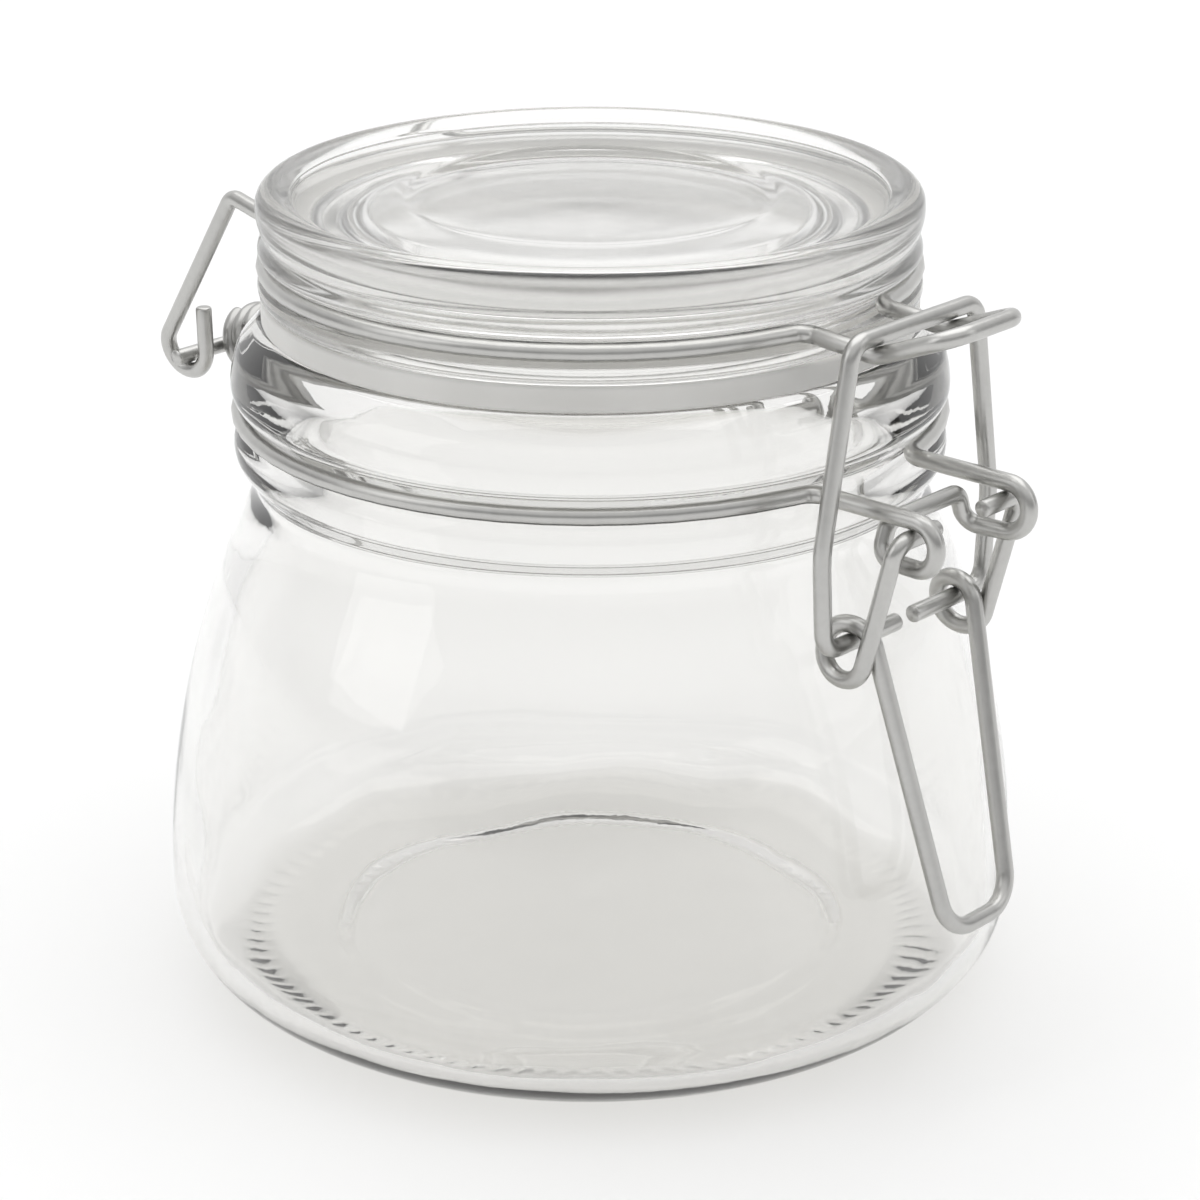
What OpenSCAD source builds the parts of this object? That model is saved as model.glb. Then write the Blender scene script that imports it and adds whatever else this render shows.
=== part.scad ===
// Bail clamp jar for kitchen storage: glass jar and lid, flat gasket, and a sprung wire clamp
// made of a neck wire, a lid wire, a lever wire and a bail wire.
//
// Millimetres. +Z is up, the origin is on the jar's axis at the table, the clamp is toward -Y
// and the hinge toward +Y. The model is drawn with the lid clamped shut.

/* [Jar] */

// Widest diameter of the jar body
body_d = 101.2; // [100:0.2:103]
// Height of the widest part above the table
belly_z = 12; // [11.5:0.1:12.5]
// Radius of the long curve from the belly up to the neck
shoulder_r = 108; // [106:1:112]
// Radius of the curve from the belly down to the heel
lower_r = 11; // [10.5:0.1:11.4]
// Height of the narrow waist under the neck
waist_z = 61.5; // [61:0.1:62]
// Glass thickness of the body wall
wall = 2.8; // [2:0.1:3.4]
// Thickness of the glass floor at the middle
floor_t = 4.6; // [3.6:0.1:5.6]
// Height of the hollow under the floor
punt_h = 1.4; // [0.8:0.1:1.8]
// Diameter of the mouth
mouth_d = 69; // [68.6:0.1:69.6]
// Height of the top of the rim
rim_z = 80.3; // [80.1:0.1:80.4]
// Number of small bumps round the heel
tick_count = 96; // [72:4:108]

/* [Lid] */

// Height of the top of the lid above the table
lid_top_z = 96; // [95.6:0.1:97]
// Widest radius of the lid
lid_r = 38.1; // [38:0.1:38.3]
// Radius of the sunk middle of the lid
recess_r = 19.4; // [16:0.2:22]
// Depth of the sunk middle of the lid
recess_depth = 1; // [0.6:0.1:1.4]

/* [Gasket] */

// Thickness of the squeezed gasket
gasket_t = 3; // [2.9:0.05:3]
// Outer radius of the gasket
gasket_r = 37.8; // [37.2:0.1:38.2]
// Inner radius of the gasket
gasket_hole_r = 32.4; // [32.3:0.1:32.8]

/* [Wires] */

// Diameter of the wire
wire_d = 2; // [1.9:0.02:2]
// Mean radius of the ring in the neck groove
neck_ring_r = 40.6; // [40.5:0.05:40.8]
// Height of the neck ring
neck_z = 70; // [69.8:0.1:70.2]
// Mean radius of the ring in the lid groove
lid_ring_r = 37.2; // [37.1:0.05:37.3]
// Height of the lid ring
lid_wire_z = 87; // [86.9:0.1:87.1]

/* [Clamp] */

// Distance of the lever pivot from the jar axis
pivot_out = 53.2; // [52.8:0.1:53.8]
// Distance of the coil centre from the jar axis
coil_out = 46.3; // [46.2:0.1:47]
// Height of the coil centre
coil_z = 53.8; // [53.4:0.1:54.2]
// Mean radius of the lever coil
coil_r = 3; // [2.95:0.05:3.1]
// Angle of the handle from the vertical
handle_deg = 15; // [13:0.5:18]
// Height of the middle of the wire at the bottom of the handle
handle_z = 22; // [20:0.2:24]
// Half the width of the bail at the lid
bail_top_s = 10.8; // [10:0.1:11.4]

/* [Hinge] */

// Distance of the hinge pin from the jar axis
hinge_out = 60.5; // [60:0.1:61]
// Height of the hinge pin
hinge_z = 64.8; // [64.4:0.1:65.2]
// Half the distance between the two hooks
hook_s = 8; // [7.6:0.1:8.6]

/* [Hidden] */

$fn = 96;
wire_r = wire_d / 2;
body_r = body_d / 2;
mouth_r = mouth_d / 2;
fit_gap = 0.05;
groove_r = wire_r + 0.08;
seam = 0.05;
barrel_r = wire_r + 0.01;

// Jar profile
heel_a = 54;
heel_join_z = belly_z - lower_r * sin(heel_a);
heel_r = heel_join_z / (1 - sin(heel_a));
heel_c = [body_r - lower_r + (lower_r - heel_r) * cos(heel_a), heel_r];
shoulder_a = asin((waist_z - 1.5 - belly_z) / shoulder_r);
foot_in_r = heel_c[0] - 5.5;
shoulder_top = [body_r - shoulder_r * (1 - cos(shoulder_a)), waist_z - 1.5];

// Lid profile
lid_base_z = rim_z + 0.1 + gasket_t;
boss_z = rim_z + 0.5;
lid_edge_r = 1.9;
lid_plate_z = lid_top_z - 1.3;
lid_under_z = lid_plate_z - 6.2;

// Clamp layout, each as [distance across, distance out from the axis, height]
neck_leg_s = 8.4;
eye_r = 2.7;
eye_end_out = pivot_out + 3.2;
eye_back_out = 48.4;
bar_z = neck_z - 1.8;
bar_s = 6.2;
pivot_z = neck_z - wire_d - fit_gap;
pivot_end_s = 4;
arm_s = 11;
handle_s = 9.2;
coil_drop = coil_r - wire_d - fit_gap;
pin_z = coil_z + coil_drop;
pin_end_s = 1.4;
handle_out = coil_out + coil_r * cos(handle_deg)
    + (coil_z + coil_r * sin(handle_deg) - handle_z) * tan(handle_deg);
handle_low_s = 5.6;
handle_bend = 4.2;
bail_foot_s = 14.2;
bail_wide_s = 14.9;
bail_wide_z = 66;
valley_out = 46.6;
valley_z = 86.3;
tip_out = 56;
tip_z = 90;
bail_top_out = valley_out - 0.1;
bail_top_z = valley_z + wire_d + 0.2;
tongue_s = 6.6;
tongue_tip_s = 6;

// Hinge layout
hook_r = 3.1;
hook_c = [hinge_out, hinge_z + hook_r - wire_d - fit_gap];
rod_s = wire_r + 0.6;
pin_reach_s = hook_s + 2.4;
arm_top = [12.5, 46.6, 88.5];
tail_z = 71.5;
binding_r = rod_s + 2 * wire_r + fit_gap;
binding_out = 56;

// Ring exits, as angles from the clamp or the hinge direction
neck_exit_a = 16;
neck_back_a = 8;
lid_exit_a = 14.5;
lid_back_a = 27;
ring_steps = 4;

// A point given as distance across, distance out toward the clamp, and height
function at(s, out, z) = [s, -out, z];
function unit(v) = v / norm(v);
function mirrored(path) = [for (i = [len(path) - 1:-1:0])
    [[-path[i][0][0], path[i][0][1], path[i][0][2]], path[i][1]]];

// Points on an arc about c, from angle a0 to a1 in n steps
function arc(c, r, a0, a1, n) = [for (i = [0:n])
    let (a = a0 + (a1 - a0) * i / n) [c[0] + r * cos(a), c[1] + r * sin(a)]];

// Smooth curve through the points p, with n steps between neighbours
function smooth(p, n) = [for (i = [0:len(p) - 2]) for (k = [0:n - 1])
    let (a = p[max(i - 1, 0)], b = p[i], c = p[i + 1], d = p[min(i + 2, len(p) - 1)], t = k / n)
    0.5 * (2 * b + (c - a) * t + (2 * a - 5 * b + 4 * c - d) * t * t
        + (3 * b - a - 3 * c + d) * t * t * t)];

// Corners of the straight lines that touch a ring from angle a0 to a1, measured from the clamp
function ring_path(r, z, a0, a1, n) = [for (i = [0:n - 1])
    let (step = (a1 - a0) / n, a = a0 + step * (i + 0.5), rc = r / cos(step / 2))
    [at(rc * sin(a), rc * cos(a), z), r]];

// How far before a corner its bend begins
function bend_len(path, i) = (i == 0 || i == len(path) - 1) ? 0
    : let (u = unit(path[i][0] - path[i - 1][0]), v = unit(path[i + 1][0] - path[i][0]))
    path[i][1] * tan(acos(max(-1, min(1, u * v))) / 2);

// Columns x, y, z and origin as a placement
function placed(x, y, z, o) = [
    [x[0], y[0], z[0], o[0]],
    [x[1], y[1], z[1], o[1]],
    [x[2], y[2], z[2], o[2]],
    [0, 0, 0, 1]];

// Any direction at right angles to d
function beside(d) = unit(cross(d, abs(d[2]) < 0.9 ? [0, 0, 1] : [1, 0, 0]));

// A round bar from p to q
module bar(p, q, r) {
    d = unit(q - p);
    x = beside(d);
    multmatrix(placed(x, cross(d, x), d, p))
        cylinder(r = r, h = norm(q - p));
}

// One bend of wire at the corner b between a and c, cut back a little at both ends
module elbow(a, b, c, bend) {
    u = unit(b - a);
    v = unit(c - b);
    turn = acos(u * v);
    cut_a = seam / bend * 180 / PI;
    start = b - u * bend * tan(turn / 2);
    centre = b + unit(v - u) * bend / cos(turn / 2);
    x = unit(start - centre);
    multmatrix(placed(x, u, cross(x, u), centre))
        rotate([0, 0, cut_a])
            rotate_extrude(angle = turn - 2 * cut_a)
                translate([bend, 0])
                    circle(r = wire_r);
}

// A barrel just proud of the wire, which joins the pieces of wire that end inside it
module barrel(p, q, d) {
    x = beside(d);
    from = -4 * seam;
    to = (q - p) * d - from;
    end_r = wire_r - 2 * seam;
    multmatrix(placed(x, cross(d, x), d, p))
        rotate_extrude()
            polygon([[0, from], [end_r, from], [barrel_r, from / 2],
                [barrel_r, to + from / 2], [end_r, to], [0, to]]);
}

// Wire bent along a path of [corner, bend radius], with a barrel over each seam
module bent_wire(path) {
    last = len(path) - 1;
    for (i = [0:last - 1]) {
        u = unit(path[i + 1][0] - path[i][0]);
        p = path[i][0] + u * bend_len(path, i);
        q = path[i + 1][0] - u * bend_len(path, i + 1);
        if ((q - p) * u > 12 * seam) {
            bar(i == 0 ? p : p + u * seam, i == last - 1 ? q : q - u * seam, wire_r);
            if (i > 0) {
                barrel(p, p, u);
            }
            if (i < last - 1) {
                barrel(q, q, u);
            }
        } else {
            barrel(p, q, u);
        }
    }
    for (i = [1:last - 1]) {
        elbow(path[i - 1][0], path[i][0], path[i + 1][0], path[i][1]);
    }
}

module ring_cut(r, z) {
    rotate_extrude()
        translate([r, z])
            circle(r = groove_r);
}

function jar_outside() = concat(
    [[0, punt_h], [foot_in_r - 4, punt_h], [foot_in_r - 2.6, punt_h * 0.85]],
    [[foot_in_r - 0.6, 0.15], [foot_in_r + 0.6, 0]],
    arc(heel_c, heel_r, -90, -heel_a, 9),
    arc([body_r - lower_r, belly_z], lower_r, -heel_a + 2.5, 0, 6),
    arc([body_r - shoulder_r, belly_z], shoulder_r, 2, shoulder_a, 12),
    smooth([[shoulder_top[0] - 0.3, waist_z], [39.5, waist_z + 1.4], [40.5, waist_z + 2.4],
        [41.2, waist_z + 3.5], [41.4, waist_z + 4.8], [41.2, waist_z + 6], [40.5, neck_z - 1.1],
        [40.5, neck_z + 1.1], [41.3, neck_z + 2.1], [41.6, neck_z + 3.3], [41.4, neck_z + 5],
        [40.7, neck_z + 7.4], [39.6, rim_z - 1.8], [38.6, rim_z - 0.6], [37.2, rim_z]], 3),
    [[37.2, rim_z]]);

function jar_inside() = concat(
    [[mouth_r + 1.2, rim_z]],
    arc([mouth_r + 0.9, rim_z - 0.9], 0.9, 100, 180, 4),
    smooth([[mouth_r, rim_z - 3], [mouth_r + 0.4, rim_z - 9], [mouth_r + 1.5, waist_z + 4],
        [mouth_r + 1.7, waist_z - 1], [mouth_r + 3.2, waist_z - 6]], 4),
    [for (i = [0:10]) let (a = shoulder_a * (0.78 - 0.078 * i))
        [body_r - shoulder_r + (shoulder_r - wall) * cos(a),
            belly_z + (shoulder_r - wall) * sin(a)]],
    arc([body_r - wall - 8, belly_z - 0.4], 8, 0, -70, 8),
    [[body_r - wall - 14, punt_h + floor_t - 1.2], [26, punt_h + floor_t - 0.5],
        [0, punt_h + floor_t]]);

module jar_glass() {
    color([0.86, 0.92, 0.91, 0.45])
    difference() {
        union() {
            rotate_extrude()
                polygon(concat(jar_outside(), jar_inside()));
            heel_ticks();
        }
        ring_cut(neck_ring_r, neck_z);
    }
}

// Small bumps round the heel, just outside the ring that the jar stands on
module heel_ticks() {
    tick_a = -74;
    tick_r = 0.45;
    for (i = [0:tick_count - 1]) {
        rotate([0, 0, 360 * i / tick_count])
            translate([heel_c[0] + heel_r * cos(tick_a), 0, heel_c[1] + heel_r * sin(tick_a)])
                sphere(r = tick_r, $fn = 24);
    }
}

function lid_outside() = smooth([[lid_r - 0.7, lid_base_z], [lid_r - 0.1, lid_base_z + 0.8],
    [lid_r - 0.1, lid_base_z + 2], [lid_r - 0.8, lid_wire_z - 0.95], [lid_r - 1.5, lid_wire_z],
    [lid_r - 0.8, lid_wire_z + 1.1], [lid_r - 0.15, lid_wire_z + 1.9],
    [lid_r - 0.35, lid_wire_z + 2.9], [lid_r - 0.75, lid_wire_z + 3.8],
    [lid_r - 0.3, lid_wire_z + 4.8], [lid_r, lid_wire_z + 6.2]], 3);

module lid_glass() {
    color([0.88, 0.93, 0.92, 0.45])
    difference() {
        rotate_extrude()
            polygon(concat(
                lid_outside(),
                arc([lid_r - lid_edge_r, lid_top_z - lid_edge_r], lid_edge_r, 0, 115, 9),
                smooth([[lid_r - 3.9, lid_top_z - 0.9], [lid_r - 4.9, lid_plate_z],
                    [recess_r + 6, lid_plate_z - 0.1], [recess_r + 2.4, lid_plate_z - 0.2],
                    [recess_r + 0.6, lid_plate_z - recess_depth * 0.8],
                    [recess_r - 1.5, lid_plate_z - recess_depth]], 3),
                [[recess_r - 1.5, lid_plate_z - recess_depth], [0, lid_plate_z - recess_depth]],
                [[0, lid_under_z], [25, lid_under_z - 0.3]],
                smooth([[25.6, lid_under_z - 0.5], [27.6, lid_under_z - 3],
                    [28.2, boss_z + 1], [28.9, boss_z]], 3),
                [[28.9, boss_z], [31, boss_z], [31.8, boss_z + 0.8], [32, lid_base_z]]));
        ring_cut(lid_ring_r, lid_wire_z);
    }
}

module gasket() {
    bottom = rim_z + 0.1;
    soft_edge = 0.5;
    color([0.85, 0.85, 0.83])
    rotate_extrude()
        polygon(concat(
            [[gasket_hole_r, bottom]],
            arc([gasket_r - soft_edge, bottom + soft_edge], soft_edge, -90, 0, 4),
            arc([gasket_r - soft_edge, bottom + gasket_t - soft_edge], soft_edge, 0, 90, 4),
            [[gasket_hole_r, bottom + gasket_t]]));
}

// From the hinge pin, round one side of the neck, to the eye and the middle of the clamp bar
function neck_half() =
    let (r = neck_ring_r,
        front_t = (r * sin(neck_exit_a) - neck_leg_s) / cos(neck_exit_a),
        front = at(neck_leg_s, r * cos(neck_exit_a) + front_t * sin(neck_exit_a), neck_z),
        back_t = (r * sin(neck_back_a) - rod_s) / cos(neck_back_a),
        back = at(rod_s, -r * cos(neck_back_a) - back_t * sin(neck_back_a), neck_z))
    concat(
        [[at(pin_reach_s, -hinge_out, hinge_z), 0],
            [at(rod_s, -hinge_out, hinge_z), 1.7],
            [back, 2.6]],
        ring_path(r, neck_z, 180 - neck_back_a, neck_exit_a, ring_steps),
        [[front, 2.5],
            [at(neck_leg_s, eye_end_out, neck_z), eye_r],
            [at(neck_leg_s - 0.1, eye_end_out, neck_z - 2 * eye_r - 0.05), eye_r],
            [at(neck_leg_s - 0.8, eye_back_out, neck_z - 2 * eye_r - 0.2), 1.9],
            [at(bar_s, eye_back_out, bar_z), 1.5]]);

module neck_wire() {
    color([0.66, 0.66, 0.65])
    bent_wire(concat(neck_half(), mirrored(neck_half())));
}

// Two turns of wire that bind the ends of the neck wire together at the hinge
module hinge_binding() {
    rod_from = neck_half()[2][0];
    rod_to = neck_half()[1][0];
    along = unit([0, rod_to[1] - rod_from[1], rod_to[2] - rod_from[2]]);
    middle = [0, rod_from[1], rod_from[2]]
        + along * (binding_out - rod_from[1]) / along[1];
    color([0.6, 0.6, 0.59])
    multmatrix(placed([1, 0, 0], cross(along, [1, 0, 0]), along, middle))
        for (side = [-1, 1]) {
            translate([0, 0, side * wire_r * 0.94])
                rotate_extrude()
                    translate([binding_r, 0])
                        circle(r = wire_r);
        }
}

// From the hook tail, round one side of the lid, to the tip of the tongue
function lid_half() =
    let (r = lid_ring_r,
        to_hook = [hook_c[0] - arm_top[1], hook_c[1] - arm_top[2]],
        fall_a = atan2(to_hook[1], to_hook[0]) + asin(hook_r / norm(to_hook)),
        fall = [cos(fall_a), sin(fall_a)],
        touch = hook_c + hook_r * [-fall[1], fall[0]],
        corner = touch + fall * hook_r * tan((180 + fall_a) / 2),
        bend = hook_r - 0.08,
        front_t = (r * sin(lid_exit_a) - tongue_s) / cos(lid_exit_a),
        front = at(tongue_s, r * cos(lid_exit_a) + front_t * sin(lid_exit_a), lid_wire_z),
        back_t = 2.2,
        back = at(r * sin(lid_back_a) - back_t * cos(lid_back_a),
            -r * cos(lid_back_a) - back_t * sin(lid_back_a), lid_wire_z))
    concat(
        [[at(hook_s, -hook_c[0] + hook_r - 0.2, tail_z), 0],
            [at(hook_s, -hook_c[0] + hook_r, hook_c[1] - hook_r), bend],
            [at(hook_s, -corner[0], hook_c[1] - hook_r), bend],
            [at(arm_top[0], -arm_top[1], arm_top[2]), 2.6],
            [back, 3]],
        ring_path(r, lid_wire_z, 180 - lid_back_a, lid_exit_a, ring_steps),
        [[front, 2.3],
            [at(tongue_s, valley_out, valley_z), 3],
            [at(tongue_tip_s, tip_out, tip_z), 3]]);

module lid_wire() {
    color([0.68, 0.68, 0.67])
    bent_wire(concat(lid_half(), mirrored(lid_half())));
}

// From the pivot pin, down the arm, round the coil and down to the middle of the handle
function lever_half() =
    let (to_coil = [coil_out - pivot_out, coil_z - pivot_z],
        arm_a = atan2(to_coil[1], to_coil[0]) + asin(coil_r / norm(to_coil)),
        arm_d = [cos(arm_a), sin(arm_a)],
        low = coil_z - coil_r,
        low_out = pivot_out + arm_d[0] / arm_d[1] * (low - pivot_z),
        top = coil_z + coil_r,
        top_out = coil_out + coil_r * cos(handle_deg)
            - (top - coil_z - coil_r * sin(handle_deg)) * tan(handle_deg),
        bend = coil_r - 0.06)
    [[at(pivot_end_s, pivot_out, pivot_z), 0],
        [at(arm_s, pivot_out, pivot_z), 1.9],
        [at(arm_s, low_out, low), bend],
        [at(arm_s - 0.4, coil_out - coil_r, low), bend],
        [at(arm_s - 1.2, coil_out - coil_r, top), bend],
        [at(handle_s, top_out, top), bend],
        [at(handle_low_s, handle_out, handle_z), handle_bend]];

module lever_wire() {
    color([0.7, 0.7, 0.69])
    bent_wire(concat(lever_half(), mirrored(lever_half())));
}

// From the coil pin up to the middle of the top bar
function bail_half() = [
    [at(pin_end_s, coil_out, pin_z), 0],
    [at(bail_foot_s, coil_out, pin_z), 2.6],
    [at(bail_wide_s, coil_out, bail_wide_z), 12],
    [at(bail_top_s, bail_top_out, bail_top_z), 2.4]];

module bail_wire() {
    color([0.72, 0.72, 0.71])
    bent_wire(concat(bail_half(), mirrored(bail_half())));
}

jar_glass();
neck_wire();
hinge_binding();
lid_glass();
gasket();
lid_wire();
lever_wire();
bail_wire();
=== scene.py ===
"""Looks of the bail clamp jar: pressed glass, a milky gasket and satin wires, on a pale floor."""

import math

import bpy
import numpy as np
from mathutils import Matrix, Vector, noise


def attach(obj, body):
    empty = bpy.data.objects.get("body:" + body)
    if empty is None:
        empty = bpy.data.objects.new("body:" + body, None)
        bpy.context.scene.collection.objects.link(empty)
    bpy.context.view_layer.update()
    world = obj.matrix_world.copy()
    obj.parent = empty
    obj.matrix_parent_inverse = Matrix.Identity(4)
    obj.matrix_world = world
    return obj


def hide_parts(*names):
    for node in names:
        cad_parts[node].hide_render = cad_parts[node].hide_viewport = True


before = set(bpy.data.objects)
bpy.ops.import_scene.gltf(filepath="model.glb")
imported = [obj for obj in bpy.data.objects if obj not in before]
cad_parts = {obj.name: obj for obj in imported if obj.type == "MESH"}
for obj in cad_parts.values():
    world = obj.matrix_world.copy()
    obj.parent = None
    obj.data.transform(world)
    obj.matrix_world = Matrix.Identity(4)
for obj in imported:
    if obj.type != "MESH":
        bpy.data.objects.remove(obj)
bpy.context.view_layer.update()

# Lengths below are in mm, as in the CAD source, until a mesh is made.
MM = 0.001

# ---- Sizes, the same as in part.scad
BODY_R, BELLY_Z, SHOULDER_R, LOWER_R = 50.6, 12.0, 108.0, 11.0
WAIST_Z, WALL, FLOOR_T, PUNT_H = 61.5, 2.8, 4.6, 1.4
MOUTH_R, RIM_Z, TICKS = 34.5, 80.3, 96
LID_TOP_Z, LID_R, RECESS_R, RECESS_DEPTH, LID_EDGE_R = 96.0, 38.1, 19.4, 1.0, 1.9
LID_PLATE_Z = LID_TOP_Z - 1.3
LID_UNDER_Z = LID_PLATE_Z - 6.2
LID_BASE_Z, BOSS_Z = 83.4, 80.8
GASKET_HOLE_R, GASKET_R, GASKET_T = 32.4, 37.8, 3.0
WIRE_R = 1.0
NECK_RING_R, NECK_Z = 40.6, 70.0
LID_RING_R, LID_WIRE_Z = 37.2, 87.0
GROOVE_R = 1.08
PIVOT_OUT, PIVOT_Z, PIVOT_END_S = 53.2, 67.95, 4.0
COIL_OUT, COIL_Z, COIL_R = 46.3, 53.8, 3.0
HANDLE_DEG, HANDLE_Z = 15, 22.0
PIN_Z, PIN_END_S = 54.75, 1.4
VALLEY_OUT, VALLEY_Z, TIP_OUT, TIP_Z = 46.6, 86.3, 56, 90
HINGE_OUT, HINGE_Z, HOOK_S, PIN_REACH_S = 60.5, 64.8, 8.0, 10.4
BINDING_OUT, BINDING_R, BINDING_TURNS, BINDING_LENGTH = 56, 3.65, 2.12, 1.98 * 2.12 * 0.9

# Curve from the belly to the heel, and the angle the long shoulder curve turns through
HEEL_A = 54.0
HEEL_JOIN_Z = BELLY_Z - LOWER_R * math.sin(math.radians(HEEL_A))
HEEL_R = HEEL_JOIN_Z / (1 - math.sin(math.radians(HEEL_A)))
HEEL_C = (BODY_R - LOWER_R + (LOWER_R - HEEL_R) * math.cos(math.radians(HEEL_A)), HEEL_R)
FOOT_IN_R = HEEL_C[0] - 5.5
SHOULDER_A = math.degrees(math.asin((WAIST_Z - 1.5 - BELLY_Z) / SHOULDER_R))
SHOULDER_TOP_R = BODY_R - SHOULDER_R * (1 - math.cos(math.radians(SHOULDER_A)))


def unit(v):
    v = np.asarray(v, float)
    return v / np.linalg.norm(v)


def at(s, out, z):
    """A point s to the side, out from the jar's axis towards the clamp, and z up."""
    return np.array([s, -out, z], float)


def arc(c, r, a0, a1, n):
    a = np.radians(np.linspace(a0, a1, n + 1))
    return [(c[0] + r * math.cos(t), c[1] + r * math.sin(t)) for t in a]


def smooth(points, n):
    """Smooth curve through the points, with n steps between neighbours."""
    p = [np.array(q, float) for q in points]
    out = []
    for i in range(len(p) - 1):
        a, b, c, d = p[max(i - 1, 0)], p[i], p[i + 1], p[min(i + 2, len(p) - 1)]
        for k in range(n):
            t = k / n
            out.append(
                0.5
                * (
                    2 * b
                    + (c - a) * t
                    + (2 * a - 5 * b + 4 * c - d) * t * t
                    + (3 * b - a - 3 * c + d) * t**3
                )
            )
    return [tuple(q) for q in out]


# ---- Profiles of the turned pieces, as (radius, height)


def densify(points, step):
    """Puts extra points on a line, so that none are further apart than the step."""
    p = [np.array(points[0], float)]
    for q in points[1:]:
        q = np.array(q, float)
        gap = np.linalg.norm(q - p[-1])
        if gap < 1e-4:
            continue
        n = max(1, int(math.ceil(gap / step)))
        start = p[-1]
        p += [start + (q - start) * k / n for k in range(1, n + 1)]
    return np.array(p)


def cut_groove(p, r, z):
    """Pushes the profile's points that lie in a ring's circle out onto it, towards the axis."""
    out = p.copy()
    d = p - np.array([r, z])
    inside = (np.hypot(d[:, 0], d[:, 1]) < GROOVE_R) & (p[:, 0] > r - 4)
    depth = np.sqrt(np.maximum(GROOVE_R**2 - d[:, 1] ** 2, 0))
    out[inside, 0] = r - depth[inside]
    return out


def soften(p, rounds):
    """Rounds corners, with both ends kept."""
    p = p.copy()
    for _ in range(rounds):
        p[1:-1] = 0.25 * p[:-2] + 0.5 * p[1:-1] + 0.25 * p[2:]
    return p


def thin(p, tolerance, longest):
    """Leaves out points that a straight line or a near neighbour stands for."""
    keep = [0]
    i = 0
    while i < len(p) - 1:
        j = i + 1
        while j + 1 < len(p):
            a, b = p[i], p[j + 1]
            length = np.linalg.norm(b - a)
            if length > longest:
                break
            n = np.array([a[1] - b[1], b[0] - a[0]]) / max(length, 1e-9)
            if np.abs((p[i : j + 2] - a) @ n).max() > tolerance:
                break
            j += 1
        keep.append(j)
        i = j
    return p[keep]


# Spacing of the points on a profile before it is softened
STEP = 0.25


def jar_outside():
    neck = [
        (SHOULDER_TOP_R - 0.3, WAIST_Z), (39.5, WAIST_Z + 1.4), (40.5, WAIST_Z + 2.4),
        (41.2, WAIST_Z + 3.5), (41.4, WAIST_Z + 4.8), (41.2, WAIST_Z + 6), (40.5, NECK_Z - 1.1),
        (40.5, NECK_Z + 1.1), (41.3, NECK_Z + 2.1), (41.6, NECK_Z + 3.3), (41.4, NECK_Z + 5),
        (40.7, NECK_Z + 7.4), (39.6, RIM_Z - 1.8), (38.6, RIM_Z - 0.6), (37.2, RIM_Z),
    ]
    return (
        [(0, PUNT_H), (FOOT_IN_R - 4, PUNT_H), (FOOT_IN_R - 2.6, PUNT_H * 0.85)]
        + [(FOOT_IN_R - 0.6, 0.15), (FOOT_IN_R + 0.6, 0)]
        + arc(HEEL_C, HEEL_R, -90, -HEEL_A, 20)
        + arc((BODY_R - LOWER_R, BELLY_Z), LOWER_R, -HEEL_A + 2.5, 0, 16)
        + arc((BODY_R - SHOULDER_R, BELLY_Z), SHOULDER_R, 2, SHOULDER_A, 24)
        + smooth(neck, 8)
        + [(37.2, RIM_Z)]
    )


def jar_inside():
    side = []
    for i in range(11):
        a = math.radians(SHOULDER_A * (0.78 - 0.078 * i))
        side.append(
            (
                BODY_R - SHOULDER_R + (SHOULDER_R - WALL) * math.cos(a),
                BELLY_Z + (SHOULDER_R - WALL) * math.sin(a),
            )
        )
    throat = [
        (MOUTH_R, RIM_Z - 3), (MOUTH_R + 0.4, RIM_Z - 9), (MOUTH_R + 1.5, WAIST_Z + 4),
        (MOUTH_R + 1.7, WAIST_Z - 1), (MOUTH_R + 3.2, WAIST_Z - 6), side[0],
    ]
    floor_z = PUNT_H + FLOOR_T
    return (
        [(MOUTH_R + 1.2, RIM_Z)]
        + arc((MOUTH_R + 0.9, RIM_Z - 0.9), 0.9, 100, 180, 6)
        + smooth(throat, 8)
        + side
        + arc((BODY_R - WALL - 8, BELLY_Z - 0.4), 8, 0, -70, 16)
        + [(BODY_R - WALL - 14, floor_z - 1.2), (26, floor_z - 0.5), (0, floor_z)]
    )


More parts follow.
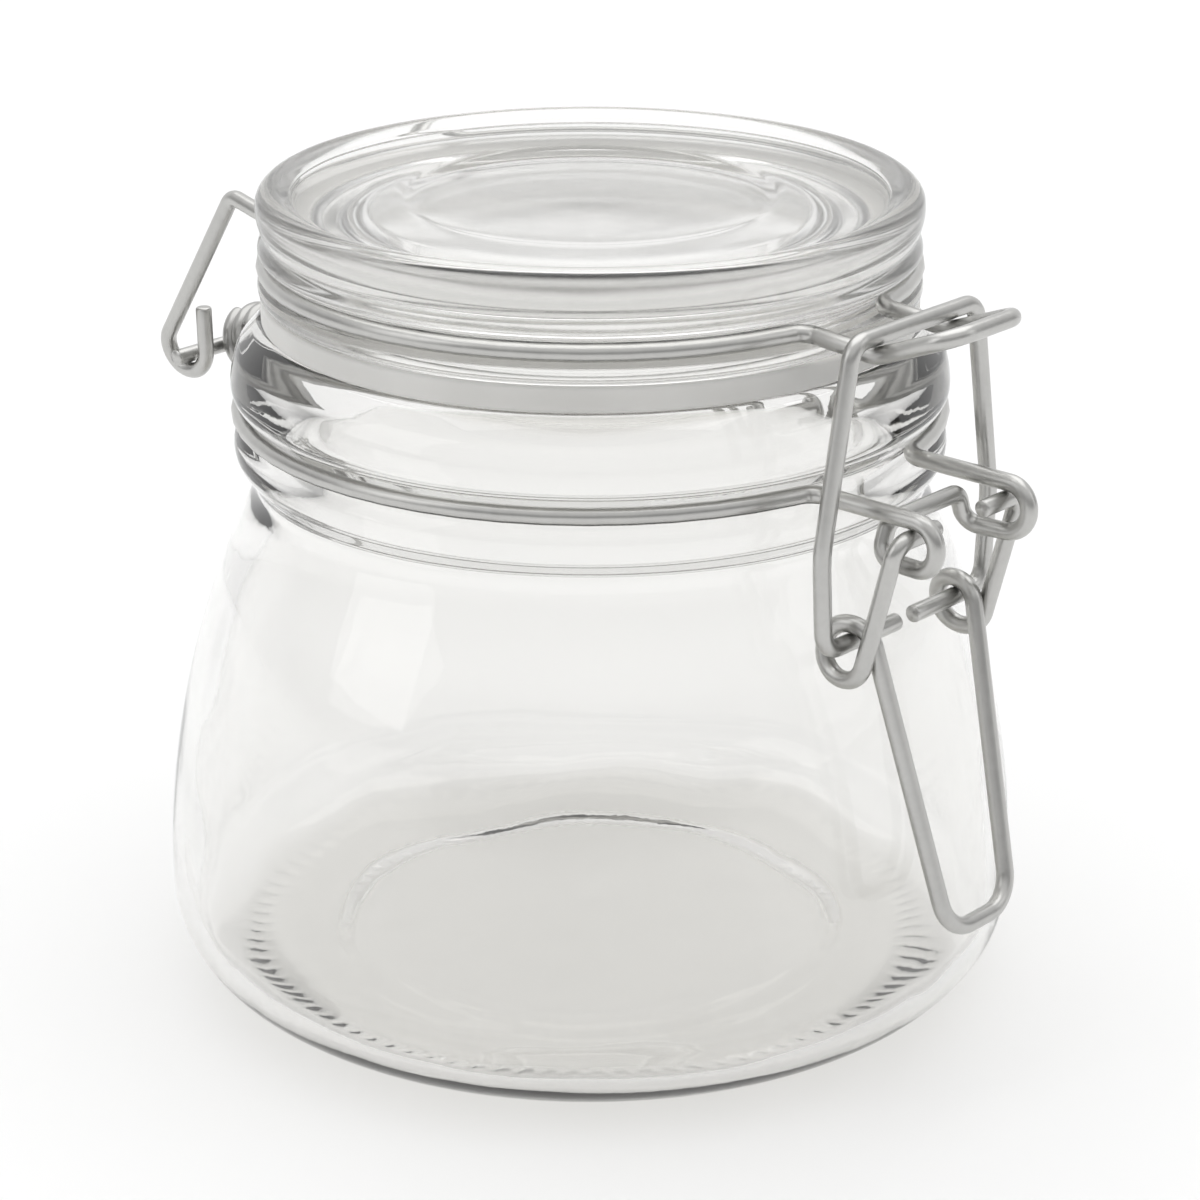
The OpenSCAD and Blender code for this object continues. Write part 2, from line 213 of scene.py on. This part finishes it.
def lid_profile():
    side = [
        (LID_R - 0.7, LID_BASE_Z), (LID_R - 0.1, LID_BASE_Z + 0.8), (LID_R - 0.1, LID_BASE_Z + 2),
        (LID_R - 0.8, LID_WIRE_Z - 0.95), (LID_R - 1.5, LID_WIRE_Z),
        (LID_R - 0.8, LID_WIRE_Z + 1.1), (LID_R - 0.15, LID_WIRE_Z + 1.9),
        (LID_R - 0.35, LID_WIRE_Z + 2.9), (LID_R - 0.75, LID_WIRE_Z + 3.8),
        (LID_R - 0.3, LID_WIRE_Z + 4.8), (LID_R, LID_WIRE_Z + 6.2),
    ]
    top = [
        (LID_R - 3.9, LID_TOP_Z - 0.9), (LID_R - 4.9, LID_PLATE_Z),
        (RECESS_R + 6, LID_PLATE_Z - 0.1), (RECESS_R + 2.4, LID_PLATE_Z - 0.2),
        (RECESS_R + 0.6, LID_PLATE_Z - RECESS_DEPTH * 0.8),
        (RECESS_R - 1.5, LID_PLATE_Z - RECESS_DEPTH),
    ]
    under = [
        (25.6, LID_UNDER_Z - 0.5), (27.6, LID_UNDER_Z - 3), (28.2, BOSS_Z + 1), (28.9, BOSS_Z),
    ]
    edge = arc((LID_R - LID_EDGE_R, LID_TOP_Z - LID_EDGE_R), LID_EDGE_R, 0, 115, 16)
    sunk = [(RECESS_R - 1.5, LID_PLATE_Z - RECESS_DEPTH), (0, LID_PLATE_Z - RECESS_DEPTH)]
    rim = [(28.9, BOSS_Z), (31, BOSS_Z), (31.8, BOSS_Z + 0.8), (32, LID_BASE_Z)]
    upper = densify(smooth(side, 8) + edge + smooth(top, 8) + sunk, STEP)
    lower = densify(
        [(0, LID_UNDER_Z), (25, LID_UNDER_Z - 0.3)]
        + smooth(under, 8)
        + rim
        + [(LID_R - 0.7, LID_BASE_Z)],
        STEP,
    )
    upper = cut_groove(upper, LID_RING_R, LID_WIRE_Z)
    # one line from the axis underneath, out, up the side and back to the axis on top
    line = soften(np.vstack([lower, upper[1:]]), 3)
    return thin(line, 0.012, 2.5)


def jar_profile():
    outside = cut_groove(densify(jar_outside(), STEP), NECK_RING_R, NECK_Z)
    inside = soften(densify(jar_inside(), STEP), 60)
    line = soften(np.vstack([soften(outside, 20), inside]), 3)
    return thin(line, 0.014, 2.8)


def gasket_profile():
    low, high, e = RIM_Z + 0.1, RIM_Z + 0.1 + GASKET_T, 0.5
    corners = (
        arc((GASKET_R - e, low + e), e, -90, 0, 6)
        + arc((GASKET_R - e, high - e), e, 0, 90, 6)
        + arc((GASKET_HOLE_R + 0.3, high - 0.3), 0.3, 90, 180, 4)
        + arc((GASKET_HOLE_R + 0.3, low + 0.3), 0.3, 180, 270, 4)
    )
    return densify(corners + [corners[0]], 0.5)


# ---- Mesh makers


def mesh_object(name, verts, faces, uvs=None):
    mesh = bpy.data.meshes.new(name)
    mesh.from_pydata([tuple(v) for v in np.asarray(verts) * MM], [], faces)
    if uvs is not None:
        layer = mesh.uv_layers.new(name="UVMap")
        loops = np.zeros(len(mesh.loops), np.int32)
        mesh.loops.foreach_get("vertex_index", loops)
        layer.data.foreach_set("uv", np.asarray(uvs, np.float32)[loops].ravel())
    mesh.polygons.foreach_set("use_smooth", [True] * len(mesh.polygons))
    mesh.validate()
    mesh.update()
    obj = bpy.data.objects.new(name, mesh)
    bpy.context.scene.collection.objects.link(obj)
    return obj


def revolve(name, profile, segments, warp=None):
    """Turns a profile round the Z axis. Points on the axis become poles; a closed profile has none."""
    closed = np.linalg.norm(profile[0] - profile[-1]) < 1e-6
    rings = profile[:-1] if closed else profile
    verts, index = [], []
    a = np.linspace(0, 2 * np.pi, segments, endpoint=False)
    for r, z in rings:
        if r < 1e-6:
            index.append([len(verts)])
            verts.append((0.0, 0.0, z))
        else:
            index.append(list(range(len(verts), len(verts) + segments)))
            verts += list(zip(r * np.cos(a), r * np.sin(a), np.full(segments, z)))
    faces = []
    pairs = list(zip(range(len(rings) - 1), range(1, len(rings))))
    if closed:
        pairs.append((len(rings) - 1, 0))
    for i, j in pairs:
        p, q = index[i], index[j]
        for k in range(segments):
            m = (k + 1) % segments
            if len(p) == 1:
                faces.append((p[0], q[m], q[k]))
            elif len(q) == 1:
                faces.append((p[k], p[m], q[0]))
            else:
                faces.append((p[k], p[m], q[m], q[k]))
    verts = np.array(verts)
    if warp is not None:
        verts = warp(verts)
    return mesh_object(name, verts, faces)


def centreline(path):
    """Points along a path of (corner, bend radius): straights, with an arc at every corner."""
    points = []
    for i, (corner, bend) in enumerate(path):
        if i in (0, len(path) - 1):
            points.append(corner)
            continue
        u = unit(corner - path[i - 1][0])
        v = unit(path[i + 1][0] - corner)
        turn = math.acos(max(-1.0, min(1.0, float(u @ v))))
        length = bend * math.tan(turn / 2)
        centre = corner + unit(v - u) * bend / math.cos(turn / 2)
        start = corner - u * length
        x = unit(start - centre)
        steps = max(2, int(math.ceil(math.degrees(turn) / 7)))
        for k in range(steps + 1):
            t = turn * k / steps
            points.append(centre + bend * (x * math.cos(t) + u * math.sin(t)))
    out = [points[0]]
    for p in points[1:]:
        gap = np.linalg.norm(p - out[-1])
        if gap < 0.02:
            continue
        n = int(gap // 2.5)
        start = out[-1]
        out += [start + (p - start) * k / (n + 1) for k in range(1, n + 1)]
        out.append(p)
    return np.array(out)


SIDES = 24


def tube(name, line, r, closed=False):
    """A wire along the line, with UVs along and round it, and a small chamfer at its cut ends."""
    n = len(line)
    ahead = np.roll(line, -1, axis=0) - line
    behind = line - np.roll(line, 1, axis=0)
    t = ahead / np.linalg.norm(ahead, axis=1)[:, None]
    t = t + behind / np.linalg.norm(behind, axis=1)[:, None]
    if not closed:
        t[0], t[-1] = ahead[0], behind[-1]
    t /= np.linalg.norm(t, axis=1)[:, None]
    side = unit(np.cross(t[0], [0.3, 0.2, 0.93]))
    sides = [side]
    for i in range(1, n):
        side = side - t[i] * (side @ t[i])
        side = unit(side)
        sides.append(side)
    far = np.concatenate([[0], np.cumsum(np.linalg.norm(np.diff(line, axis=0), axis=1))])
    rings = []
    if not closed:
        rings += [(0, 0.0, r * 0.82), (0, 0.12, r * 0.96)]
    rings += [(i, 0.0 if (closed or 0 < i < n - 1) else 0.3, r) for i in range(n)]
    if not closed:
        rings += [(n - 1, 0.12, r * 0.96), (n - 1, 0.0, r * 0.82)]
    a = np.linspace(0, 2 * np.pi, SIDES, endpoint=False)
    verts, uvs = [], []
    for i, inset, radius in rings:
        sign = 1 if i == 0 else -1
        centre = line[i] + t[i] * inset * sign
        u, v = sides[i], np.cross(t[i], sides[i])
        for k in range(SIDES):
            verts.append(centre + radius * (u * math.cos(a[k]) + v * math.sin(a[k])))
            uvs.append((far[i] * MM, abs(k / SIDES * 2 - 1)))
    faces = []
    total = len(rings)
    for i in range(total if closed else total - 1):
        j = (i + 1) % total
        for k in range(SIDES):
            m = (k + 1) % SIDES
            faces.append((i * SIDES + k, i * SIDES + m, j * SIDES + m, j * SIDES + k))
    if not closed:
        for ring, flip in ((0, True), (total - 1, False)):
            ids = [ring * SIDES + k for k in range(SIDES)]
            faces.append(tuple(reversed(ids)) if flip else tuple(ids))
    return mesh_object(name, verts, faces, uvs)


# ---- Wire paths: half of each, as (corner, bend radius), and its mirror image


def mirrored(path):
    return [(p * np.array([-1, 1, 1]), r) for p, r in reversed(path)]


def whole(half):
    return half + mirrored(half)


def ring_path(r, z, a0, a1, n):
    step = (a1 - a0) / n
    rc = r / math.cos(math.radians(step / 2))
    out = []
    for i in range(n):
        a = math.radians(a0 + step * (i + 0.5))
        out.append((at(rc * math.sin(a), rc * math.cos(a), z), r))
    return out


def sin_d(a):
    return math.sin(math.radians(a))


def cos_d(a):
    return math.cos(math.radians(a))


def neck_half():
    exit_a, back_a, leg_s, rod_s, r = 16, 8, 8.4, 1.6, NECK_RING_R
    eye_out, eye_back, bar_s, bar_z, eye_r = 56.4, 48.4, 6.2, NECK_Z - 1.8, 2.7
    front_t = (r * sin_d(exit_a) - leg_s) / cos_d(exit_a)
    front = at(leg_s, r * cos_d(exit_a) + front_t * sin_d(exit_a), NECK_Z)
    back_t = (r * sin_d(back_a) - rod_s) / cos_d(back_a)
    back = at(rod_s, -r * cos_d(back_a) - back_t * sin_d(back_a), NECK_Z)
    return (
        [(at(PIN_REACH_S, -HINGE_OUT, HINGE_Z), 0), (at(rod_s, -HINGE_OUT, HINGE_Z), 1.7)]
        + [(back, 2.6)]
        + ring_path(r, NECK_Z, 180 - back_a, exit_a, 4)
        + [
            (front, 2.5),
            (at(leg_s, eye_out, NECK_Z), eye_r),
            (at(leg_s - 0.1, eye_out, NECK_Z - 2 * eye_r - 0.05), eye_r),
            (at(leg_s - 0.8, eye_back, NECK_Z - 2 * eye_r - 0.2), 1.9),
            (at(bar_s, eye_back, bar_z), 1.5),
        ]
    )


def lid_half():
    hook_c, hook_r, tail_z, exit_a, back_a, back_t = (60.5, 65.85), 3.1, 71.5, 14.5, 27, 2.2
    arm_top, tongue_s, r = (12.5, 46.6, 88.5), 6.6, LID_RING_R
    to_hook = (hook_c[0] - arm_top[1], hook_c[1] - arm_top[2])
    fall_a = math.degrees(math.atan2(to_hook[1], to_hook[0]))
    fall_a += math.degrees(math.asin(hook_r / math.hypot(*to_hook)))
    fall = np.array([cos_d(fall_a), sin_d(fall_a)])
    touch = np.array(hook_c) + hook_r * np.array([-fall[1], fall[0]])
    corner = touch + fall * hook_r * math.tan(math.radians((180 + fall_a) / 2))
    bend = hook_r - 0.08
    front_t = (r * sin_d(exit_a) - tongue_s) / cos_d(exit_a)
    front = at(tongue_s, r * cos_d(exit_a) + front_t * sin_d(exit_a), LID_WIRE_Z)
    back_s = r * sin_d(back_a) - back_t * cos_d(back_a)
    back = at(back_s, -r * cos_d(back_a) - back_t * sin_d(back_a), LID_WIRE_Z)
    return (
        [
            (at(HOOK_S, -hook_c[0] + hook_r - 0.2, tail_z), 0),
            (at(HOOK_S, -hook_c[0] + hook_r, hook_c[1] - hook_r), bend),
            (at(HOOK_S, -corner[0], hook_c[1] - hook_r), bend),
            (at(arm_top[0], -arm_top[1], arm_top[2]), 2.6),
            (back, 3),
        ]
        + ring_path(r, LID_WIRE_Z, 180 - back_a, exit_a, 4)
        + [(front, 2.3), (at(tongue_s, VALLEY_OUT, VALLEY_Z), 3), (at(6, TIP_OUT, TIP_Z), 3)]
    )


def lever_half():
    arm_s, handle_s, handle_low_s = 11, 9.2, 5.6
    lean = math.tan(math.radians(HANDLE_DEG))
    to_coil = (COIL_OUT - PIVOT_OUT, COIL_Z - PIVOT_Z)
    arm_a = math.degrees(math.atan2(to_coil[1], to_coil[0]))
    arm_a += math.degrees(math.asin(COIL_R / math.hypot(*to_coil)))
    low, top = COIL_Z - COIL_R, COIL_Z + COIL_R
    low_out = PIVOT_OUT + cos_d(arm_a) / sin_d(arm_a) * (low - PIVOT_Z)
    top_out = COIL_OUT + COIL_R * cos_d(HANDLE_DEG)
    top_out -= (top - COIL_Z - COIL_R * sin_d(HANDLE_DEG)) * lean
    handle_out = COIL_OUT + COIL_R * cos_d(HANDLE_DEG)
    handle_out += (COIL_Z + COIL_R * sin_d(HANDLE_DEG) - HANDLE_Z) * lean
    bend = COIL_R - 0.06
    return [
        (at(PIVOT_END_S, PIVOT_OUT, PIVOT_Z), 0),
        (at(arm_s, PIVOT_OUT, PIVOT_Z), 1.9),
        (at(arm_s, low_out, low), bend),
        (at(arm_s - 0.4, COIL_OUT - COIL_R, low), bend),
        (at(arm_s - 1.2, COIL_OUT - COIL_R, top), bend),
        (at(handle_s, top_out, top), bend),
        (at(handle_low_s, handle_out, HANDLE_Z), 4.2),
    ]


def bail_half():
    foot_s, wide_s, wide_z, top_s = 14.2, 14.9, 66, 10.8
    return [
        (at(PIN_END_S, COIL_OUT, PIN_Z), 0),
        (at(foot_s, COIL_OUT, PIN_Z), 2.6),
        (at(wide_s, COIL_OUT, wide_z), 12),
        (at(top_s, VALLEY_OUT - 0.1, VALLEY_Z + 2.2), 2.4),
    ]


def binding_line():
    """Two turns of wire round the sloping ends of the neck wire."""
    half = neck_half()
    start, end = half[2][0].copy(), half[1][0].copy()
    start[0] = end[0] = 0
    along = unit(end - start)
    middle = start + along * (BINDING_OUT - start[1]) / along[1]
    x = np.array([1.0, 0, 0])
    y = np.cross(along, x)
    points = []
    steps = int(BINDING_TURNS * 48)
    for k in range(steps + 1):
        f = k / steps - 0.5
        a = 2 * math.pi * BINDING_TURNS * f - 2.2
        spoke = x * math.cos(a) + y * math.sin(a)
        points.append(middle + along * BINDING_LENGTH * f + BINDING_R * spoke)
    return np.array(points)


# Level directions from the jar toward the camera, and to the right in the picture
CAMERA_AZ = -48.0
toward = Vector((math.sin(math.radians(CAMERA_AZ)), -math.cos(math.radians(CAMERA_AZ)), 0))
right = Vector((-toward.y, toward.x, 0))


# ---- Materials


def material(name):
    mat = bpy.data.materials.new(name)
    mat.use_nodes = True
    tree = mat.node_tree
    tree.nodes.clear()
    return mat, tree


def add(tree, kind, **values):
    node = tree.nodes.new(kind)
    for key, value in values.items():
        if key.startswith("in_"):
            node.inputs[key[3:].replace("_", " ")].default_value = value
        else:
            setattr(node, key, value)
    return node


def coords(tree, kind="Object", scale=(1, 1, 1)):
    source = add(tree, "ShaderNodeTexCoord")
    mapping = add(tree, "ShaderNodeMapping", in_Scale=scale)
    tree.links.new(source.outputs[kind], mapping.inputs["Vector"])
    return mapping.outputs["Vector"]


def noise_tex(tree, vector, scale, detail=3.0, rough=0.5):
    node = add(tree, "ShaderNodeTexNoise", in_Scale=scale, in_Detail=detail, in_Roughness=rough)
    tree.links.new(vector, node.inputs["Vector"])
    return node.outputs["Fac"]


def ramp(tree, fac, stops):
    node = add(tree, "ShaderNodeValToRGB")
    while len(node.color_ramp.elements) < len(stops):
        node.color_ramp.elements.new(0.5)
    for element, (place, value) in zip(node.color_ramp.elements, stops):
        element.position = place
        element.color = value if len(value) == 4 else (*value, 1)
    tree.links.new(fac, node.inputs["Fac"])
    return node.outputs["Color"]


def spread(tree, fac, low, high):
    node = add(tree, "ShaderNodeMapRange")
    node.inputs["To Min"].default_value = low
    node.inputs["To Max"].default_value = high
    tree.links.new(fac, node.inputs["Value"])
    return node.outputs["Result"]


def bump(tree, height, strength, distance, normal=None):
    node = add(tree, "ShaderNodeBump", in_Strength=strength, in_Distance=distance)
    tree.links.new(height, node.inputs["Height"])
    if normal is not None:
        tree.links.new(normal, node.inputs["Normal"])
    return node.outputs["Normal"]


def glass(name, wave_mm, rough, tint, density):
    """Clear pressed glass: slow waves, fine pits, and lamp light let through to the floor."""
    mat, tree = material(name)
    object_space = coords(tree)
    waves = noise_tex(tree, object_space, 55.0, 2.0)
    fine = noise_tex(tree, object_space, 420.0, 3.0)
    normal = bump(tree, waves, 1.0, wave_mm * MM)
    normal = bump(tree, fine, 0.25, 0.00002, normal)
    shader = add(tree, "ShaderNodeBsdfPrincipled")
    shader.inputs["Base Color"].default_value = (tint, tint * 0.998, tint * 0.99, 1)
    shader.inputs["Transmission Weight"].default_value = 1.0
    shader.inputs["IOR"].default_value = 1.5
    tree.links.new(spread(tree, fine, 0.4 * rough, rough), shader.inputs["Roughness"])
    tree.links.new(normal, shader.inputs["Normal"])
    clear = add(tree, "ShaderNodeBsdfTransparent", in_Color=(0.95, 0.948, 0.942, 1))
    path = add(tree, "ShaderNodeLightPath")
    either = add(tree, "ShaderNodeMath", operation="MAXIMUM")
    tree.links.new(path.outputs["Is Shadow Ray"], either.inputs[0])
    tree.links.new(path.outputs["Is Diffuse Ray"], either.inputs[1])
    mix = add(tree, "ShaderNodeMixShader")
    tree.links.new(either.outputs[0], mix.inputs[0])
    tree.links.new(shader.outputs[0], mix.inputs[1])
    tree.links.new(clear.outputs[0], mix.inputs[2])
    depth = add(tree, "ShaderNodeVolumeAbsorption", in_Color=(0.5, 0.49, 0.45, 1), in_Density=density)
    out = add(tree, "ShaderNodeOutputMaterial")
    tree.links.new(mix.outputs[0], out.inputs["Surface"])
    tree.links.new(depth.outputs[0], out.inputs["Volume"])
    return mat


def satin_wire(name, tone):
    """Zinc-plated steel wire: drawing lines along it, a mottled plating, satin shine."""
    mat, tree = material(name)
    along = coords(tree, "UV", (60.0, 9.0, 1.0))
    lines = noise_tex(tree, along, 4.0, 4.0, 0.6)
    object_space = coords(tree)
    mottle = noise_tex(tree, object_space, 900.0, 3.0, 0.6)
    slow = noise_tex(tree, object_space, 90.0, 2.0)
    darker = tuple(tone * k for k in (0.93, 0.925, 0.90))
    lighter = tuple(tone * k for k in (1.0, 0.995, 0.965))
    colour = ramp(tree, slow, [(0.3, darker), (0.7, lighter)])
    blend = add(tree, "ShaderNodeMix", data_type="RGBA", blend_type="MULTIPLY")
    blend.inputs["Factor"].default_value = 0.22
    tree.links.new(colour, blend.inputs[6])
    tree.links.new(ramp(tree, mottle, [(0.35, (0.78, 0.78, 0.78)), (0.65, (1, 1, 1))]), blend.inputs[7])
    shader = add(tree, "ShaderNodeBsdfPrincipled")
    shader.inputs["Metallic"].default_value = 1.0
    tree.links.new(blend.outputs[2], shader.inputs["Base Color"])
    tree.links.new(spread(tree, mottle, 0.27, 0.35), shader.inputs["Roughness"])
    normal = bump(tree, lines, 0.06, 0.00001)
    normal = bump(tree, mottle, 0.04, 0.000006, normal)
    tree.links.new(normal, shader.inputs["Normal"])
    out = add(tree, "ShaderNodeOutputMaterial")
    tree.links.new(shader.outputs[0], out.inputs["Surface"])
    return mat


def milky_rubber(name):
    mat, tree = material(name)
    object_space = coords(tree)
    slow = noise_tex(tree, object_space, 60.0, 3.0)
    fine = noise_tex(tree, object_space, 1400.0, 2.0)
    shader = add(tree, "ShaderNodeBsdfPrincipled")
    colour = ramp(tree, slow, [(0.3, (0.62, 0.615, 0.595)), (0.7, (0.69, 0.685, 0.665))])
    tree.links.new(colour, shader.inputs["Base Color"])
    tree.links.new(spread(tree, fine, 0.42, 0.6), shader.inputs["Roughness"])
    shader.inputs["Subsurface Weight"].default_value = 0.35
    shader.inputs["Subsurface Radius"].default_value = (1.0, 1.0, 1.0)
    shader.inputs["Subsurface Scale"].default_value = 0.003
    tree.links.new(bump(tree, fine, 0.3, 0.00003), shader.inputs["Normal"])
    out = add(tree, "ShaderNodeOutputMaterial")
    tree.links.new(shader.outputs[0], out.inputs["Surface"])
    return mat


def pale_floor(name):
    mat, tree = material(name)
    object_space = coords(tree)
    slow = noise_tex(tree, object_space, 3.0, 2.0)
    shader = add(tree, "ShaderNodeBsdfPrincipled")
    colour = ramp(tree, slow, [(0.3, (0.90, 0.90, 0.90)), (0.7, (0.92, 0.92, 0.92))])
    tree.links.new(colour, shader.inputs["Base Color"])
    shader.inputs["Roughness"].default_value = 0.7
    shader.inputs["Specular IOR Level"].default_value = 0.1
    out = add(tree, "ShaderNodeOutputMaterial")
    tree.links.new(shader.outputs[0], out.inputs["Surface"])
    return mat


JAR_GLASS = glass("jar_glass_look", 0.10, 0.02, 0.968, 14.0)
LID_GLASS = glass("lid_glass_look", 0.06, 0.16, 0.998, 8.0)
WIRE = satin_wire("wire_look", 0.55)
BINDING = satin_wire("binding_look", 0.44)
RUBBER = milky_rubber("gasket_look")


# ---- The pieces


def place(obj, mat, body, node, slot):
    obj.data.materials.append(mat)
    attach(obj, body)
    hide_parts(node)


SEGMENTS = TICKS * 6
TICK_ANGLE = -74.0
TICK_LONG, TICK_WIDE, TICK_HIGH = 1.1, 0.75, 0.1


def warp_jar(verts):
    """Uneven inner wall, a slightly wavy outside, and the bumps round the heel."""
    out = verts.copy()
    radius = np.hypot(verts[:, 0], verts[:, 1])
    tick_r = HEEL_C[0] + HEEL_R * cos_d(TICK_ANGLE)
    tick_z = HEEL_C[1] + HEEL_R * sin_d(TICK_ANGLE)
    slope = np.array([-sin_d(TICK_ANGLE), cos_d(TICK_ANGLE)])
    away = np.array([cos_d(TICK_ANGLE), sin_d(TICK_ANGLE)])
    outside = np.array([q for q in jar_outside() if q[0] > HEEL_C[0]])
    outer_r = np.interp(verts[:, 2], outside[:, 1], outside[:, 0])
    for i, (x, y, z) in enumerate(verts):
        r = radius[i]
        if r < 1e-6:
            continue
        inner = r < outer_r[i] - 1.6 and 3.5 < z < 79
        swell = noise.noise(Vector((x * 0.045, y * 0.045, z * 0.06 + (7 if inner else 31))))
        ripple = noise.noise(Vector((x * 0.12, y * 0.12, z * 0.11 + 3)))
        if inner:
            share = 1.0 if z < 55 else 0.4
            push = share * (0.34 * swell + 0.12 * ripple)
            if z < 8 and r < 40:
                out[i, 2] += 0.3 * swell + 0.08 * ripple
                push = 0
        else:
            push = 0.05 * swell + 0.02 * ripple if 4 < z < 60 else 0.0
        d_slope = (r - tick_r) * slope[0] + (z - tick_z) * slope[1]
        d_away = (r - tick_r) * away[0] + (z - tick_z) * away[1]
        lift = 0.0
        if abs(d_slope) < TICK_LONG and abs(d_away) < 0.6:
            turn = (math.atan2(y, x) / (2 * math.pi) * TICKS) % 1.0
            d_turn = (turn - round(turn)) * 2 * math.pi * r / TICKS
            if abs(d_turn) < TICK_WIDE:
                lift = TICK_HIGH * math.cos(d_slope / TICK_LONG * math.pi / 2) ** 0.5
                lift *= math.cos(d_turn / TICK_WIDE * math.pi / 2) ** 2
        f = (r + push + lift * away[0]) / r
        out[i, 0] *= f
        out[i, 1] *= f
        out[i, 2] += lift * away[1]
    out[:, 2] = np.maximum(out[:, 2], 0)
    return out


def warp_lid(verts):
    out = verts.copy()
    for i, (x, y, z) in enumerate(verts):
        r = math.hypot(x, y)
        if r < 30 and BOSS_Z + 3 < z:
            swell = noise.noise(Vector((x * 0.06, y * 0.06, z * 0.3)))
            out[i, 2] += 0.07 * swell
    return out


jar_body = revolve("jar_body", jar_profile(), SEGMENTS, warp_jar)
place(jar_body, JAR_GLASS, "jar", "jar_glass", "clear_glass")
lid_disc = revolve("lid_disc", lid_profile(), 360, warp_lid)
place(lid_disc, LID_GLASS, "lid", "lid_glass", "clear_glass")
seal_ring = revolve("seal_ring", gasket_profile(), 240)
place(seal_ring, RUBBER, "lid", "gasket", "gasket_rubber")
for body, node, half in (
    ("jar", "neck_wire", neck_half()),
    ("lid", "lid_wire", lid_half()),
    ("lever", "lever_wire", lever_half()),
    ("bail", "bail_wire", bail_half()),
):
    wire = tube(node + "_bent", centreline(whole(half)), WIRE_R)
    place(wire, WIRE, body, node, "wire")
hinge_coil = tube("hinge_coil", binding_line(), WIRE_R)
place(hinge_coil, BINDING, "jar", "hinge_binding", "wire")


# ---- Floor, light and camera

floor_size = 6.0
floor_mesh = bpy.data.meshes.new("floor")
h = floor_size / 2
floor_mesh.from_pydata([(-h, -h, 0), (h, -h, 0), (h, h, 0), (-h, h, 0)], [], [(0, 1, 2, 3)])
floor = bpy.data.objects.new("floor", floor_mesh)
bpy.context.scene.collection.objects.link(floor)
floor.data.materials.append(pale_floor("floor_look"))
floor.location.z = -0.0002


def area_light(name, place_m, aim_m, size, power):
    light = bpy.data.lights.new(name, "AREA")
    light.shape = "RECTANGLE"
    light.size, light.size_y = size
    light.energy = power
    obj = bpy.data.objects.new(name, light)
    bpy.context.scene.collection.objects.link(obj)
    obj.location = place_m
    obj.rotation_euler = (aim_m - place_m).to_track_quat("-Z", "Y").to_euler()


middle = Vector((0, 0, 0.05))
up = Vector((0, 0, 1))
area_light("top_soft", middle + up * 1.8 - toward * 0.5, middle, (2.2, 2.2), 17.0)
area_light("left_soft", middle - right * 0.8 + toward * 0.35 + up * 0.45, middle, (0.5, 0.7), 0.9)
area_light("right_soft", middle + right * 0.9 + toward * 0.2 + up * 0.35, middle, (0.4, 0.7), 0.5)

world = bpy.data.worlds.new("studio")
bpy.context.scene.world = world
world.use_nodes = True
tree = world.node_tree
tree.nodes.clear()
source = add(tree, "ShaderNodeTexCoord")
split = add(tree, "ShaderNodeSeparateXYZ")
tree.links.new(source.outputs["Generated"], split.inputs[0])
height = add(tree, "ShaderNodeMapRange")
height.inputs["From Min"].default_value = -1.0
tree.links.new(split.outputs["Z"], height.inputs["Value"])
SKY = ((0.0, 0.8), (0.49, 0.8), (0.54, 0.3), (0.66, 0.42), (0.8, 0.85))
sky = ramp(tree, height.outputs["Result"], [(stop, (grey,) * 3) for stop, grey in SKY])
behind = add(tree, "ShaderNodeVectorMath", operation="DOT_PRODUCT")
behind.inputs[1].default_value = -toward
tree.links.new(source.outputs["Generated"], behind.inputs[0])
screen = ramp(tree, behind.outputs["Value"], [(0.1, (0, 0, 0)), (0.55, (0.9, 0.9, 0.9))])
lighter = add(tree, "ShaderNodeMix", data_type="RGBA", blend_type="LIGHTEN")
lighter.inputs["Factor"].default_value = 1.0
tree.links.new(sky, lighter.inputs[6])
tree.links.new(screen, lighter.inputs[7])
background = add(tree, "ShaderNodeBackground", in_Strength=1.0)
tree.links.new(lighter.outputs[2], background.inputs["Color"])
world_out = add(tree, "ShaderNodeOutputWorld")
tree.links.new(background.outputs[0], world_out.inputs["Surface"])

scene = bpy.context.scene
scene.view_settings.view_transform = "Standard"
scene.cycles.max_bounces = 24
scene.cycles.transmission_bounces = 24
scene.cycles.transparent_max_bounces = 24
scene.cycles.caustics_reflective = False
scene.cycles.caustics_refractive = False

CAMERA_OUT, CAMERA_HIGH, CAMERA_PITCH, CAMERA_YAW = 0.398, 0.1985, -21.1, -0.16
camera_data = bpy.data.cameras.new("photo_view")
camera_data.sensor_width = 36.0
camera_data.lens = 107.79
camera_data.clip_start = 0.01
camera = bpy.data.objects.new("photo_view", camera_data)
bpy.context.scene.collection.objects.link(camera)
camera.location = toward * CAMERA_OUT + Vector((0, 0, CAMERA_HIGH))
look = -toward
look.rotate(Matrix.Rotation(math.radians(CAMERA_YAW), 4, "Z"))
look = look * math.cos(math.radians(CAMERA_PITCH)) + up * math.sin(math.radians(CAMERA_PITCH))
camera.rotation_euler = look.to_track_quat("-Z", "Y").to_euler()
bpy.context.scene.camera = camera
